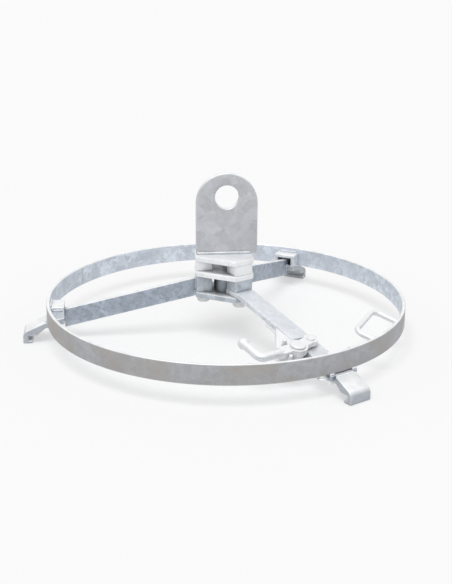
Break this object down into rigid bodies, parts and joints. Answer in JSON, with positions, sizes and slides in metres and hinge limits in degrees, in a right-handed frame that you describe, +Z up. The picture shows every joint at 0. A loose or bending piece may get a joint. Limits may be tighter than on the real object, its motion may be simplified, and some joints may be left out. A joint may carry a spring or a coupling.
{
  "type": "drum lifting beam",
  "caption": "Lifting beam with an eye plate, sloping arms, a hoop and claws that grip a steel drum's rim, one claw worked by a lever.",
  "frame": {"origin": "on the axis of the hoop and of the drum, level with the top edge of the drum's rim", "axes": "+Z up towards the lifting eye, -X along the left arm, +Y through the hole of the eye plate"},
  "size_m": [0.5675, 0.5398, 0.248],
  "materials": {
    "eye_plate": "hot-dip galvanised, matt grey",
    "hub_plate": "hot-dip galvanised",
    "arm": "hot-dip galvanised with spangle",
    "claw": "hot-dip galvanised, bright",
    "ring": "hot-dip galvanised, dull warm grey",
    "lever": "zinc plated, bright",
    "rod": "zinc plated rod",
    "fastener": "zinc plated fasteners"
  },
  "bodies": {
    "beam": {"eye_plate": "eye_plate", "hub_top_plate": "hub_plate", "hub_upper_blocks": "hub_plate", "hub_mid_plate": "hub_plate", "hub_lower_blocks": "hub_plate", "hub_core": "hub_plate", "hub_bottom_plate": "hub_plate", "hub_bolts": "fastener", "hub_washers": "fastener", "arm_left": "arm", "arm_rear": "arm", "arm_front": "arm", "claw_left": "claw", "claw_rear": "claw", "ring": "ring", "ring_ribs": "ring", "ring_lugs": "ring", "ring_caps": "ring", "hand_grip": "rod", "guide_plate": "hub_plate", "guide_gusset": "arm", "guide_cheeks": "arm", "guide_keeper": "hub_plate", "guide_bolts": "fastener", "guide_washers": "fastener", "guide_nuts": "fastener", "plate_bolts": "fastener", "pivot_bush": "arm", "pivot_bolt": "fastener", "pivot_spring_washer": "fastener", "pivot_nut": "fastener", "stop_pins": "fastener", "tether_eye": "rod"},
    "clamp_claw": {"claw_front": "claw", "slide_bar": "claw"},
    "clamp_lever": {"lever": "lever", "lever_handle": "lever", "drive_peg": "fastener", "peg_bush": "arm"}
  },
  "joints": [
    {"name": "lever_turn", "type": "hinge", "parent": "beam", "child": "clamp_lever", "pos_m": [0.0773, -0.18989, 0.03983], "axis": [-0.1103, 0.1911, -0.9753], "range_deg": [0, 50]},
    {"name": "claw_slide", "type": "slide", "parent": "beam", "child": "clamp_claw", "axis": [0.4877, -0.8447, -0.2207], "range_m": [0, 0.025]}
  ],
  "couplings": [
    {"joint": "claw_slide", "follows": "lever_turn", "m_per_rad": 0.0286}
  ]
}
